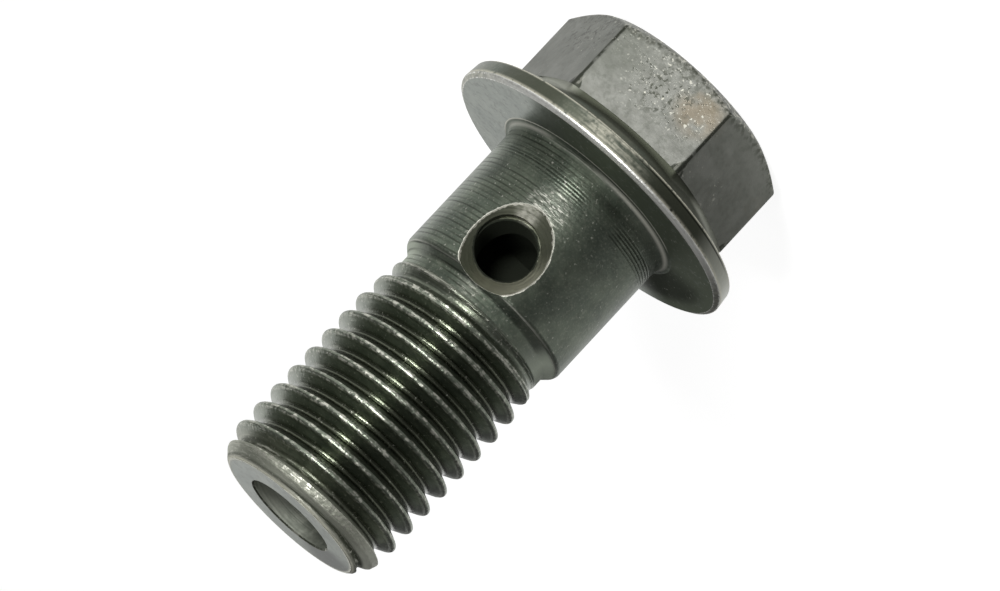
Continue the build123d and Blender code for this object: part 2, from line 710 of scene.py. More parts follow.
@dataclass(frozen=True)
class Bent(Pattern):
    """A pattern put through a function of one value."""

    operation: str
    of: Pattern

    def on(self, place: Place) -> Socket:
        """The bent value's socket."""
        return add_node(place.tree, "Math", {0: place.of(self.of)}, operation=self.operation).outputs[0]


@dataclass(frozen=True)
class Fade(Pattern):
    """A step of a pattern: from 0 at low to top at high, or down where low is above high."""

    of: Pattern
    low: float
    high: float
    top: float
    eased: bool

    def on(self, place: Place) -> Socket:
        """Makes the step.

        Args:
            place: the measures of the shaded point.

        Returns:
            The mask.
        """
        (start, first), (end, last) = sorted(((self.low, 0.0), (self.high, self.top)))
        step = {"Value": place.of(self.of), "From Min": start, "From Max": end}
        step |= {"To Min": first, "To Max": last}
        kind = "SMOOTHSTEP" if self.eased else "LINEAR"
        return add_node(place.tree, "MapRange", step, interpolation_type=kind).outputs[0]


@dataclass(frozen=True)
class Levels(Pattern):
    """A number that is led to another where a mask says, mask after mask."""

    base: "Pattern | float"
    levels: tuple[tuple[Pattern, float], ...]

    def on(self, place: Place) -> Socket:
        """Makes the steps.

        Args:
            place: the measures of the shaded point.

        Returns:
            The number.
        """
        out = place.of(self.base)
        for mask, level in self.levels:
            led = {"Value": place.of(mask), "To Min": out, "To Max": level}
            out = add_node(place.tree, "MapRange", led).outputs[0]
        return out


@dataclass(frozen=True)
class Coated:
    """A colour with coats over it, each where its mask says. A coat's colour can be coated itself."""

    base: str
    coats: tuple

    def on(self, place: Place) -> Socket | tuple:
        """Lays the coats one over the other.

        Args:
            place: the measures of the shaded point.

        Returns:
            The colour, as a plain one where there are no coats.
        """
        colour = linear(self.base)
        for mask, coat in self.coats:
            over = coat.on(place) if isinstance(coat, Coated) else linear(coat)
            laid = {0: place.of(mask), 6: colour, 7: over}
            colour = add_node(place.tree, "Mix", laid, data_type="RGBA").outputs[2]
        return colour


@dataclass(frozen=True)
class Measured(Pattern):
    """One measure of the place, as it is."""

    measure: Measure

    def on(self, place: Place) -> Socket:
        """The measure's socket."""
        return getattr(place, self.measure.value)


@dataclass(frozen=True)
class Away(Pattern):
    """Distance from a mark: in space, in the profile, or as seen along the cross hole."""

    measure: Measure
    mark: tuple

    def on(self, place: Place) -> Socket:
        """The distance's socket."""
        ends = {0: getattr(place, self.measure.value), 1: (*self.mark, 0.0)[:3]}
        return add_node(place.tree, "VectorMath", ends, operation="DISTANCE").outputs["Value"]


@dataclass(frozen=True)
class Facing(Pattern):
    """Cosine of the angle from an azimuth."""

    azimuth: float

    def on(self, place: Place) -> Socket:
        """The cosine's socket."""
        both = {0: place.heading, 1: aim(self.azimuth)}
        return add_node(place.tree, "VectorMath", both, operation="DOT_PRODUCT").outputs["Value"]


@dataclass(frozen=True)
class Grain(Pattern):
    """Even noise, from 0 to 1."""

    size: float  # of its grains
    octaves: float = 2.0  # of finer grains within them
    seed: float = 0.0

    def on(self, place: Place) -> Socket:
        """The noise's socket."""
        noise = {"Vector": place.point, "Scale": 0.5 / self.size, "Detail": self.octaves, "W": self.seed}
        return add_node(place.tree, "TexNoise", noise, noise_dimensions="4D").outputs["Fac"]


@dataclass(frozen=True)
class Streaks(Pattern):
    """Noise from 0 to 1, drawn out round the axis, as tool marks are."""

    length: float  # how far a mark runs round the bolt
    width: float  # and along the profile
    octaves: float = 2.0

    def on(self, place: Place) -> Socket:
        """Makes the noise on the heading and the way along the profile.

        Args:
            place: the measures of the shaded point.

        Returns:
            The noise.
        """
        tree, turns = place.tree, RolledThread.crest_r / self.length / 2
        round_axis = add_node(tree, "VectorMath", {0: place.heading, "Scale": turns}, operation="SCALE")
        along = add_node(tree, "Math", {0: place.height, 1: place.radius}, operation="SUBTRACT")
        lift = add_node(tree, "Math", {0: along, 1: 0.5 / self.width}, operation="MULTIPLY")
        up = add_node(tree, "CombineXYZ", {2: lift})
        where = add_node(tree, "VectorMath", {0: round_axis, 1: up}, operation="ADD")
        noise = {"Vector": where, "Scale": 1.0, "Detail": self.octaves}
        return add_node(tree, "TexNoise", noise).outputs["Fac"]


@dataclass(frozen=True)
class SinkRings(Pattern):
    """Rings round the countersink's axis, from 0 to 1."""

    scale: float = 5.0  # a ring to every 0.2 mm

    def on(self, place: Place) -> Socket:
        """The rings' socket."""
        rings = {"W": place.of(FROM_SINK_AXIS), "Scale": self.scale, "Detail": 2.0}
        return add_node(place.tree, "TexNoise", rings, noise_dimensions="1D").outputs["Fac"]


@dataclass(frozen=True)
class FromEdge(Pattern):
    """Distance across from the nearest upright edge of the hexagon."""

    aside: float = 0.0  # from the edge to the line that is meant, in degrees

    def on(self, place: Place) -> Socket:
        """Folds the six edges into one and measures the arc from it.

        Args:
            place: the measures of the shaded point.

        Returns:
            The distance.
        """
        tree, sixth = place.tree, math.tau / 6
        turn = math.radians(HexagonFlange.turn + self.aside)
        azimuth = add_node(tree, "Math", {0: place.xyz[1], 1: place.xyz[0]}, operation="ARCTAN2")
        off = add_node(tree, "Math", {0: azimuth, 1: sixth / 2 - turn}, operation="ADD")
        folded = add_node(tree, "Math", {0: off, 1: sixth, 2: 0.0}, operation="WRAP")
        centred = add_node(tree, "Math", {0: folded, 1: sixth / 2}, operation="SUBTRACT")
        across = add_node(tree, "Math", {0: centred, 1: place.radius}, operation="MULTIPLY")
        return add_node(tree, "Math", {0: across}, operation="ABSOLUTE").outputs[0]


def spot(x: float, y: float, z: float, radius: float, top: float = 1.0) -> Fade:
    """Fades from top at a spot to nothing past a radius."""
    return Away(Measure.POINT, (x, y, z)).fade(radius, radius * 0.35, top)


def ring(r: float, z: float, width: float, top: float = 1.0) -> Fade:
    """Fades from top on the circle at a radius and a height to nothing past a width."""
    return Away(Measure.PROFILE, (r, z)).fade(width, 0.0, top)


def feed(pitch: float) -> Bent:
    """A sine along the axis, from -1 to 1, that wanders as the turning tool did."""
    return Bent("SINE", HEIGHT * (math.tau / pitch) + Grain(1.5) * 4.0)


def from_sink_rim() -> Joined:
    """Distance from the rim of the countersink: the larger of those from its cone and from the shank."""
    slope = rise(1.0, Passages.sink_angle)
    cone_r = Measured(Measure.ACROSS) * -slope + (Passages.sink_r - Shank.radius * slope)
    return abs(FROM_SINK_AXIS - cone_r) | Shank.radius - RADIUS


RADIUS = Measured(Measure.RADIUS)
HEIGHT = Measured(Measure.HEIGHT)
WEAR = Measured(Measure.WEAR)
FROM_SINK_AXIS = Away(Measure.FRONT, Passages.sink_at)
SINK_RIM = (from_sink_rim() + Grain(0.1, 2.0, 4.0) * 0.225).fade(0.195, 0.15)  # with a ragged edge
# height above or below the cone of the crown chamfer
FROM_CROWN = abs(RADIUS * -rise(1.0, HexagonFlange.crown_angle) + HEIGHT - HexagonFlange().crown_z(0.0))


@dataclass(frozen=True)
class BlackSteel:
    """Hardened steel, blackened in hot caustic salts: a thin dark oxide as glossy as what is under it.

    The eye gets a dark olive grey mirror, blurred by the grain of the surface, and paler bare steel where
    it is rubbed.
    """

    name: str
    oxide: str
    pale: str  # where the oxide is thinner
    rubbed: Pattern  # where the steel is bare
    bare: str = "c4c3b8"
    coats: tuple = ()  # masks and colours over the clouded oxide, from the bottom up
    roughness: Pattern | float = 0.36
    torn: float = 0.62  # roughness where it is bare
    glance: tuple = ()  # masks and tints of what the surface mirrors at a grazing angle
    patch: float = 0.9  # size of the clouds in the oxide
    grain: float = 0.11  # blasting and etching grain, drawn at twice its real size so that it shows
    depth: float = 0.006
    relief: tuple[Pattern, ...] = ()  # heights over the grain
    salt: str = "9a9a8d"  # dried salts in the grain
    salted: float = 0.3

    def material(self) -> bpy.types.Material:
        """Makes the material.

        Returns:
            The material, with its nodes.
        """
        made = bpy.data.materials.new(self.name)
        tree = empty_tree(made)
        place = Place(tree)
        clouds = (
            (Grain(self.patch, 4.0).fade(0.36, 0.66), self.pale),
            (Grain(0.06, 2.0, 8.0).fade(0.48, 0.75, self.salted), self.salt),
        )
        height = place.of(Joined("ADD", (Grain(self.grain) * self.depth, *self.relief)))
        relief = add_node(tree, "Bump", {"Height": height, "Strength": 1.0, "Distance": MM})
        skin = {
            "Base Color": Coated(self.oxide, (*clouds, *self.coats, (self.rubbed, self.bare))).on(place),
            "Metallic": 1.0,
            "Roughness": place.of(Levels(self.roughness, ((self.rubbed, self.torn),))),
            "Specular Tint": Coated("ffffff", self.glance).on(place),
            "Normal": relief,
        }
        add_node(tree, "OutputMaterial", {"Surface": add_node(tree, "BsdfPrincipled", skin)})
        return made


@dataclass(frozen=True)
class ForgedSteel(BlackSteel):
    """Forged flats: pale and clouded, with scale pits, bright specks and a breath of rust."""

    name: str = "forged_black_steel"
    oxide: str = "7a7b75"
    pale: str = "878882"
    # mottling, and painted shade on the flats
    mottle_and_shade: str = "5c5f57"
    pit: str = "4b4d45"
    roughness: float = 0.42
    patch: float = 0.3
    salted: float = 0.1
    shaded_flats: Pattern = Facing(-95.5).fade(0.87, 0.86)  # painted shade: every flat but the one facing -95.5 is darkened
    # where the surface is more pitted than elsewhere
    marked: Pattern = (
        Grain(1.6, 1.0, 3.0).fade(0.52, 0.7, 0.45)
        | spot(-0.1, -5.9, -5.2, 2.3)
        | spot(-2.2, -5.7, -5.2, 2.3)
        | spot(1.5, 6.0, -4.5, 2.3)
        | spot(-5.6, 2.6, -4.0, 2.3)
    )
    torn_spots: Pattern = (
        spot(5.1, -3.2, -5.6, 2.0, 0.9)
        | spot(3.9, -4.7, -5.9, 2.0, 0.9)
        | spot(-1.0, -5.9, -5.0, 2.0, 0.9)
        | spot(0.5, 6.0, -5.2, 2.0, 0.9)
    )
    # painted shade: dark lines down the upright edges, which spread at their foot
    edge_lines: Pattern = (FromEdge() - HEIGHT.fade(-3.1, -2.3, 0.3)).fade(0.12, 0.048)
    stained: Pattern = (
        spot(-2.8, -5.6, -5.3, 1.7, 0.36) | spot(2.6, 5.5, -3.6, 1.5, 0.36) | spot(-5.9, 0.4, -5.0, 1.2, 0.36)
    )
    coats: tuple = (
        (Grain(0.12, 4.0, 8.0).fade(0.48, 0.64, 0.35), mottle_and_shade),
        (stained * Grain(0.5, 4.0, 5.0).fade(0.35, 0.6), "907c5e"),  # rust
        (marked * Grain(0.09, 3.0, 1.0).fade(0.6, 0.72, 0.9), pit),
        # painted shade on all flats but one
        (shaded_flats * 0.62, mottle_and_shade),
        (shaded_flats * Grain(0.6, 4.0, 9.0).fade(0.42, 0.66, 0.4), pale),
        # painted shade: darker at one end of the palest flat
        (spot(2.7, -6.0, -5.2, 2.8, 0.45), mottle_and_shade),
        (torn_spots * Grain(0.13, 4.0, 11.0).fade(0.53, 0.6), pit),
        # knocked along the edge between the flats and the crown chamfer
        (FROM_CROWN.fade(0.7, 0.0, 0.95) * Grain(0.12, 3.0, 6.0).fade(0.44, 0.6), pit),
        # painted shade down the edges, broken up
        (edge_lines * Grain(0.3, 2.0, 9.0).fade(0.3, 0.45, 0.9), "33362e"),
    )
    specks: Pattern = Grain(0.05, 2.0, 2.0).fade(0.6, 0.72, 0.7) | Grain(0.08, 0.0, 6.0).fade(0.72, 0.8)
    edges: Pattern = FromEdge(-1.5).fade(0.09, 0.036) | FromEdge(1.5).fade(0.09, 0.036)
    rubbed: Pattern = (
        specks * marked
        | edges * HEIGHT.fade(-3.3, -2.6, 0.22) * Grain(0.12, 3.0, 4.0).fade(0.42, 0.6)
        | FROM_CROWN.fade(0.16, 0.0, 0.8) * Grain(0.1, 3.0, 7.0).fade(0.5, 0.64)
    )
    # shallow waves and pits
    relief: tuple = (Grain(0.7) * 0.012, marked * Grain(0.09, 3.0, 1.0).fade(0.6, 0.68, -0.008))


@dataclass(frozen=True)
class PressedSteel(BlackSteel):
    """The pressed flange: dark, dull on its top, its rim bruised and rubbed along both edges."""

    name: str = "pressed_black_steel"
    oxide: str = "555c52"
    pale: str = "6b6f62"
    bare: str = "d6d3c2"
    painted_shade: str = "4a4d42"  # painted shade in the corner under the hexagon and on two sides of the flange
    thin: str = "aaaca1"  # painted light on two sides of the flange
    roughness: Pattern | float = Levels(0.36, ((RADIUS.fade(8.3, 8.0, eased=False), 0.6),))
    patch: float = 0.6
    depth: float = 0.012
    coats: tuple = (
        # painted shade in the corner under the hexagon and on two sides
        (RADIUS.fade(7.35, 6.75), painted_shade),
        (Facing(-137).fade(0.86, 0.97), painted_shade),
        (Facing(-61).fade(0.94, 0.985, 0.9), painted_shade),
        # painted light on two sides
        (Facing(-176).fade(0.82, 0.95, 0.8), thin),
        (RADIUS.fade(8.2, 8.05) * Facing(-50).fade(0.93, 0.98, 0.65), thin),
        # a lap that the dies closed, under the rim's top edge
        (ring(8.42, -0.93, 0.07, 0.9) * Facing(-130).fade(0.75, 0.9), "23261f"),
    )
    # both edges of the rim, broken up, and a bruised stretch of its side
    edges: Pattern = ring(8.5, -0.17, 0.26, 0.95) | ring(8.36, -1.11, 0.17)
    bruised: Pattern = spot(-1.3, -8.35, -0.5, 2.8) * HEIGHT.fade(-1.05, -0.95)
    rubbed: Pattern = edges * Grain(0.13, 3.0, 6.0).fade(0.3, 0.5) | (
        bruised * Streaks(0.5, 0.08, 4.0).fade(0.3, 0.72, 0.9) * Grain(0.14, 3.0, 5.0).fade(0.25, 0.6)
    )


@dataclass(frozen=True)
class FacedSteel(BlackSteel):
    """Faces cut square in the lathe: paler, with fine rings, and painted shade on one side: darker, duller
    and dimmer in what it mirrors.
    """

    name: str = "faced_black_steel"
    oxide: str = "848b83"
    pale: str = "91978e"
    bare: str = "fffff5"
    torn: float = 0.75
    depth: float = 0.005
    salted: float = 0.1
    # painted shade on one side of the bearing face, and a little of it on the end face
    shaded_side: Pattern = Facing(-155).fade(-0.1, 0.35) * HEIGHT.fade(2.0, 1.0) | (
        Facing(180).fade(-0.8, 1.0, 0.08) * HEIGHT.fade(1.0, 2.0)
    )
    coats: tuple = (
        (Grain(0.13, 4.0, 3.0).fade(0.45, 0.7, 0.6), "62685f"),  # mottling
        # painted shade on the shaded side, broken up
        (shaded_side * Grain(0.25, 4.0, 3.0).fade(0.15, 0.5), "6c7365"),
        (Facing(139).fade(0.72, 0.97, 0.8) * RADIUS.fade(8.0, 7.0), "30342c"),  # painted shade beside the shank
    )
    roughness: Pattern | float = Levels(0.36, ((shaded_side, 0.62),))
    glance: tuple = ((shaded_side, "b6b6b6"),)  # painted shade: what is mirrored is dimmed on the shaded side
    # both edges of the end face, and specks
    edges: Pattern = ring(4.0, 22.0, 0.2) | ring(2.46, 22.0, 0.07, 0.3)
    specks: Pattern = Grain(0.08, 2.0, 2.0).fade(0.63, 0.76, 0.32)
    rubbed: Pattern = edges * Grain(0.1, 2.0, 6.0).fade(0.2, 0.45) | specks
    # rings of the facing tool, drawn twice as wide as they are so that they show
    relief: tuple = (Streaks(9.0, 0.3) * 0.006,)


@dataclass(frozen=True)
class TurnedSteel(BlackSteel):
    """The turned seat: dark, with feed marks round it, and a few deep ones near the flange."""

    name: str = "turned_black_steel"
    oxide: str = "545c52"
    pale: str = "687063"
    bare: str = "e2e1d6"
    shade: str = "2f332b"  # in the bottom of the feed marks, in the mottling, and as painted shade under the flange and over a highlight
    painted_sheen: str = "b4baae"  # painted sheen on the sides of the shoulder and on both sides of the shank
    depth: float = 0.018
    band: Pattern = HEIGHT.fade(1.0, 1.12) * HEIGHT.fade(2.02, 1.9)
    grooved: Pattern = band * (1.0 - Facing(-118).fade(0.955, 0.99, 0.85))  # worn away just here
    fed: Pattern = (1.0 - band) * Facing(-25).fade(-0.1, 0.55)  # worn away but for this side
    scuffs: Pattern = spot(-0.3, -4.96, 3.2, 1.6, 0.08) | spot(0.1, -4.7, 8.4, 0.9, 0.08)
    streaked: Pattern = Streaks(2.0, 0.2).fade(0.3, 0.65, 0.75)
    coats: tuple = (
        # painted shade under the flange, on the front
        (HEIGHT.fade(1.7, 0.7, 0.45) * Facing(-118).fade(0.6, 0.95), shade),
        (Grain(0.28, 4.0, 3.0).fade(0.42, 0.68, 0.24), shade),
        # painted sheen on the shoulder's sides and on both sides of the shank
        (HEIGHT.fade(7.85, 8.05) * Facing(-97).fade(0.8, 0.3), painted_sheen),
        (Facing(-16).fade(0.85, 0.99, 0.3), painted_sheen),
        (Facing(-158).fade(0.8, 0.97, 0.09), painted_sheen),
        # painted shade over a highlight of the shank
        (spot(2.1, -4.5, 2.4, 2.8, 0.4), shade),
        (scuffs, bare),
        (feed(0.18).fade(-0.2, -0.9) * grooved * streaked, shade),
        (feed(0.27).fade(-0.2, -0.9) * fed * streaked, shade),
    )
    # dull in the corner under the flange and on the neck, and dullest on the shoulder
    roughness: Pattern | float = Levels(0.4, ((HEIGHT.fade(0.9, 0.5) | HEIGHT.fade(8.2, 8.4), 0.68),)) | (
        HEIGHT.fade(7.85, 8.0, 0.9) * Facing(-97).fade(0.85, 0.4)
    )
    edges: Pattern = ring(4.91, 7.93, 0.14, 0.4) | ring(5.02, 0.12, 0.2, 0.35)
    seat: Pattern = ring(5.17, 0.11, 0.2, 0.85)  # the fillet under the flange
    scraped: Pattern = spot(-0.3, -4.96, 3.2, 1.6, 0.6) | spot(0.1, -4.7, 8.4, 0.9, 0.25)
    # the shoulder and the seat, a little, specks, scuffs and the rim of the countersink
    rubbed: Pattern = (
        edges * Streaks(1.2, 0.05).fade(0.4, 0.6)
        | ring(5.46, 0.01, 0.1) * Facing(-80).fade(0.0, 0.25)
        # painted highlights on two sides of the seat
        | seat * Facing(-155).fade(0.4, 0.95)
        | seat * Facing(-40).fade(0.85, 0.97, 0.55)
        | Grain(0.08, 2.0, 2.0).fade(0.63, 0.76, 0.36)
        | scraped * Streaks(0.16, 0.035).fade(0.54, 0.66)
        | SINK_RIM * HEIGHT.fade(2.4, 5.5)
    )
    uneven: Pattern = Streaks(5.0, 0.2).fade(0.25, 0.7)
    relief: tuple = (
        feed(0.18) * 0.006 * grooved * uneven,
        feed(0.27) * 0.0035 * fed * uneven,
        Streaks(1.2, 0.07) * 0.007,
    )


@dataclass(frozen=True)
class RolledSteel(BlackSteel):
    """The rolled thread: burnished by the dies, glossy in its roots, bare and scratched along its crests."""

    name: str = "rolled_black_steel"
    oxide: str = "656c61"
    pale: str = "798073"
    bare: str = "c6c6ba"
    burnished: str = "7e8477"  # towards the crests
    root: str = "515549"  # burnt salts in the bottom of the grooves, and painted shade at the neck and on one side of the thread
    knocked_and_sheen: str = "a2a498"  # the lead chamfer, which takes every knock, and painted light on one side of the neck
    torn: float = 0.42
    patch: float = 0.35
    depth: float = 0.013
    end_edge: Pattern = ring(4.08, 21.95, 0.22)
    # scratches round the start of the thread
    start: Pattern = HEIGHT.fade(10.4, 9.4, 0.5) * Streaks(4.0, 0.05, 3.0).fade(0.4, 0.58)
    coats: tuple = (
        (WEAR.fade(0.0, 0.7) * Grain(0.15, 3.0, 3.0).fade(0.2, 0.6, 0.85), burnished),
        (HEIGHT.fade(20.4, 21.0, 0.8), knocked_and_sheen),
        # painted light on the sides of the lead
        (HEIGHT.fade(20.4, 21.0, 0.9) * Facing(-97).fade(0.75, 0.3), "d0d2c6"),
        # salts in the roots, and painted shade on the scratches at the thread's start, on the front
        (RADIUS.fade(4.36, 4.16) | start * Facing(-97).fade(0.3, 0.8), root),
        # painted light on one side of the thread's start at the neck
        (HEIGHT.fade(9.3, 9.1) * Facing(-20).fade(0.2, 0.8), knocked_and_sheen),
        # painted shade over a highlight at the neck
        (spot(-0.6, -4.35, 9.2, 1.3, 0.55), root),
        # painted shade on one side of the thread
        (Facing(-22).fade(0.5, 0.85, 0.3), root),
        (end_edge, bare),
    )
    # the dies polished the roots most, and the lead is dull
    roughness: Pattern | float = end_edge | Levels(
        0.34,
        (
            (RADIUS.fade(4.3, 4.16, eased=False), 0.24),
            (HEIGHT.fade(20.4, 21.0, eased=False), 0.7),
        ),
    )
    # the crests, broken up along the helix, and most on one side
    crests: Pattern = WEAR.fade(0.4, 1.0) * Streaks(0.5, 0.05, 3.0).fade(0.4, 0.58) * (
        Grain(0.12, 2.0, 7.0).fade(0.45, 0.57) * (1.0 - Facing(-97).fade(0.9, 0.5, 0.4))
    )
    rubbed: Pattern = (
        crests
        | Grain(0.07, 2.0, 2.0).fade(0.6, 0.74, 0.6)
        | Streaks(0.4, 0.06, 4.0).fade(0.5, 0.68) * HEIGHT.fade(20.4, 21.0, 0.55)
    )
    # scratches along the helix, and tears along the crests
    relief: tuple = (Streaks(0.6, 0.05) * 0.01, Grain(0.15, 2.0, 5.0) * WEAR.fade(0.3, 1.0, 0.06))


@dataclass(frozen=True)
class DrilledSteel(BlackSteel):
    """Drilled and countersunk faces: duller, with rings round the cross hole and painted shade deep inside.
    """

    name: str = "drilled_black_steel"
    oxide: str = "a1a18e"
    pale: str = "afaf9b"
    patch: float = 0.3
    # what lies inside the holes, which gets painted shade, with a ragged edge at the mouth of the cross hole
    mouth: Pattern = (Away(Measure.FRONT, Passages.cross_at) + Grain(0.18, 2.0, 5.0) * -0.2).fade(1.6, 1.52)
    deep: Pattern = (mouth | RADIUS.fade(2.6, 2.5)) * HEIGHT.fade(17.0, 11.0)
    bore: Coated = Coated(
        "83877d",
        (
            (Grain(0.25, 4.0, 3.0).fade(0.45, 0.65, 0.7), "a3a69b"),
            (Facing(10).fade(0.3, 0.9), "b2b5aa"),  # thinnest on this side
        ),
    )
    coats: tuple = (
        (1.0 - spot(-1.6, -4.6, 7.2, 2.7), "6e7162"),  # painted shade over the countersink, but for its lit side
        (RADIUS.fade(3.0, 2.6), bore),
        (deep, "3d4138"),  # painted shade inside the holes
    )
    roughness: Pattern | float = Levels(0.45, ((deep | RADIUS.fade(3.0, 2.6, 0.6), 0.85),))
    # the side of the countersink that the tool scraped, and its rim
    rubbed: Pattern = spot(0.35, -4.5, 3.75, 0.9, 0.9) * Grain(0.15, 4.0, 1.0).fade(0.2, 0.75) | (
        SINK_RIM * RADIUS.fade(4.7, 4.85)
    )
    relief: tuple = (SinkRings() * 0.02,)


@dataclass(frozen=True)
class RubbedSteel(BlackSteel):
    """Sharp rims rubbed bare: bright, uneven steel, with a painted highlight on the side of the flange that
    faces -106.
    """

    name: str = "rubbed_bright_steel"
    oxide: str = "808278"
    pale: str = "a8a89c"
    bare: str = "fffffa"
    roughness: float = 0.45
    torn: float = 0.5
    patch: float = 0.16
    grain: float = 0.09
    depth: float = 0.025
    # painted highlight on the flange's rim towards -106
    coats: tuple = ((Facing(-106).fade(0.2, 0.8, 0.75) * RADIUS.fade(7.5, 8.0), bare),)
    # both edges of the rim, and, as a painted highlight, all of it on the side facing -106
    edges: Pattern = ring(8.49, -0.14, 0.08, 0.9) | ring(8.24, 0.0, 0.08, 0.9)
    middle: Pattern = ring(8.36, -0.06, 0.17) * Facing(-106).fade(0.55, 0.85)
    rubbed: Pattern = (
        edges * Grain(0.1, 3.0, 6.0).fade(0.4, 0.6) | middle * Grain(0.12, 3.0, 3.0).fade(0.2, 0.42)
    )


# in the order of Surface
FINISHES = (
    *(ForgedSteel(), PressedSteel(), FacedSteel(), TurnedSteel()),
    *(RolledSteel(), DrilledSteel(), RubbedSteel()),
)


@dataclass
class BanjoBolt:
    """The whole bolt, one piece of steel."""

    thread: RolledThread = field(default_factory=RolledThread)
    head: HexagonFlange = field(default_factory=HexagonFlange)
    shank: Shank = field(default_factory=Shank)
    passages: Passages = field(default_factory=Passages)
    rim_weld: float = 0.05  # points on the countersink's rim nearer than this are one
    rim_break: float = 0.1  # width of its broken edge, which is narrowed where its facets are short
    seat_margin: float = 0.1  # what lies this far outside the seat's fillet is pressed with the head
    faced_up: float = 0.95  # faces whose normal rises more than this are level
    faced_depth: float = 0.1  # and those this near the tip were faced
    # how fast the wear falls off below the crests from its height there, and the band of the lead over
    # which it starts
    crest_wear: float = 0.3
    crest_height: float = 1.2
    crest_least: float = 0.1  # crests lower than this over the neck aren't rubbed
    bore_margin: float = 0.3  # nor is what lies this near the bore
    lead_wear: tuple = (4.3, 0.25)
    lead_share: float = 0.6
    lead_front: float = 0.15  # what is added to that towards -Y
    end_wear: float = 0.12  # width of the rubbed ring at the end face
    end_depth: float = 0.02  # how far below the tip that ring starts

    def outline(self) -> list[tuple[float, float]]:
        """Profile of the neck, the shank and the head, from the thread to the middle of the head's top."""
        shank, neck_r = self.shank, self.thread.neck_r
        neck = [(neck_r, shank.join_z), (neck_r, shank.neck_z)]
        return [*neck, (shank.radius, shank.shoulder_z), (shank.radius, 0.0), *self.head.outline()]

    def blank(self) -> bmesh.types.BMesh:
        """The bolt before its cross hole is drilled.

        Returns:
            One closed skin.
        """
        shank, head, thread = self.shank, self.head, self.thread
        bm = spin_profile(self.outline())
        roundings = [
            (thread.neck_r, shank.neck_z, shank.neck_fillet, 45, 3),
            (shank.radius, shank.shoulder_z, shank.shoulder_r, 45, 5),
            (shank.radius, 0.0, shank.seat_r, 90, 8),
        ]
        for rounding in roundings + head.roundings():
            round_ring(bm, *rounding)
        for v in bm.verts:
            pressed_r = shank.radius + shank.seat_r + self.seat_margin
            if math.hypot(v.co.x, v.co.y) > pressed_r or v.co.z < head.land_z:
                head.press(v)
        gather(bm, thread.skin())
        gather(bm, spin_profile(self.passages.bore(thread.tip_z)))
        bmesh.ops.bridge_loops(bm, edges=open_ring(bm, shank.join_z) + open_ring(bm, thread.foot_z))
        bmesh.ops.bridge_loops(bm, edges=open_ring(bm, thread.tip_z))
        bmesh.ops.recalc_face_normals(bm, faces=bm.faces)
        log.info("open edges of the blank: %d", sum(not e.is_manifold for e in bm.edges))
        return bm

    def surface_at(self, face: bmesh.types.BMFace) -> Surface:
        """Tells how a stretch of the blank was made.

        Args:
            face: one face of it.

        Returns:
            The surface that the face belongs to.
        """
        centre = face.calc_center_median()
        r, z, up = math.hypot(centre.x, centre.y), centre.z, face.normal.z
        if z > 0.0 and r < self.passages.bore_r + SLACK:
            return Surface.DRILLED
        if z >= self.thread.foot_z:
            faced = up > self.faced_up and z > self.thread.tip_z - self.faced_depth
            return Surface.FACED if faced else Surface.ROLLED
        if z > NEAR or (z > -NEAR and r < self.shank.radius + self.shank.seat_r):
            return Surface.TURNED
        if z > -NEAR:
            return Surface.FACED
        if z > self.head.land_z - self.head.land_rounding - SLACK:
            return Surface.RUBBED
        edge = self.head.foot_line(math.degrees(math.atan2(centre.y, centre.x))) - SLACK
        return Surface.FORGED if r < self.head.flats_r and z < edge else Surface.PRESSED

    def wear_at(self, p: Vector) -> float:
        """How far the oxide is rubbed off the thread: most on the crests.

        Args:
            p: a point of the finished bolt.

        Returns:
            The wear there, from 0 to 1.
        """
        r, z = math.hypot(p.x, p.y), p.z
        if z < self.shank.join_z or r < self.passages.bore_r + self.bore_margin:
            return 0.0
        crest = self.thread.crest(z)
        worn = 0.0
        if crest > self.thread.neck_r + self.crest_least:
            worn = clamp(self.crest_height - abs(r - crest) / self.crest_wear)
        if z > self.thread.lead_z:
            start, width = self.lead_wear
            front = max(0.0, -p.y / r) ** 3
            worn = max(worn, clamp((r - start) / width) * (self.lead_share + self.lead_front * front))
        if z > self.thread.tip_z - self.end_depth:
            worn = bump(r - crest, self.end_wear)
        return worn

    def drill(self, solid: bpy.types.Object) -> bpy.types.Mesh:
        """Takes the cross hole and its countersinks out of the bolt.

        Args:
            solid: the blank, as an object.

        Returns:
            The drilled mesh.
        """
        tools = []
        for cut in self.passages.cutters(self.shank.radius):
            mesh = saved(cut, "drill")
            mesh.materials.append(solid.data.materials[Surface.DRILLED])
            tool = put("drill", mesh)
            boolean = solid.modifiers.new("drill", "BOOLEAN")
            boolean.operation = "DIFFERENCE"
            boolean.solver = "EXACT"
            boolean.material_mode = "TRANSFER"
            boolean.object = tool
            tools.append(tool)
        drilled = bpy.data.meshes.new_from_object(solid.evaluated_get(bpy.context.evaluated_depsgraph_get()))
        solid.modifiers.clear()
        for tool in tools:
            bpy.data.objects.remove(tool)
        return drilled

    def sink_rim(self, bm: bmesh.types.BMesh) -> list[bmesh.types.BMEdge]:
        """Finds the sharp edges where the countersink meets the shank and its shoulder.

        Args:
            bm: the drilled bolt.

        Returns:
            The edges.
        """
        holes, rim = self.passages, []
        low, high = holes.rim_zs
        for e in bm.edges:
            marks = {f.material_index for f in e.link_faces}
            if len(marks) == 2 and Surface.DRILLED in marks:
                x, y, z = (e.verts[0].co + e.verts[1].co) / 2
                gap = abs(holes.sink_gap(x, y, z, self.shank.radius))
                if low < z < high and gap < holes.rim_near:
                    rim.append(e)
        return rim

    def break_edges(self, bm: bmesh.types.BMesh) -> None:
        """Breaks the sharp rim of the countersink.

        Args:
            bm: the drilled bolt.
        """
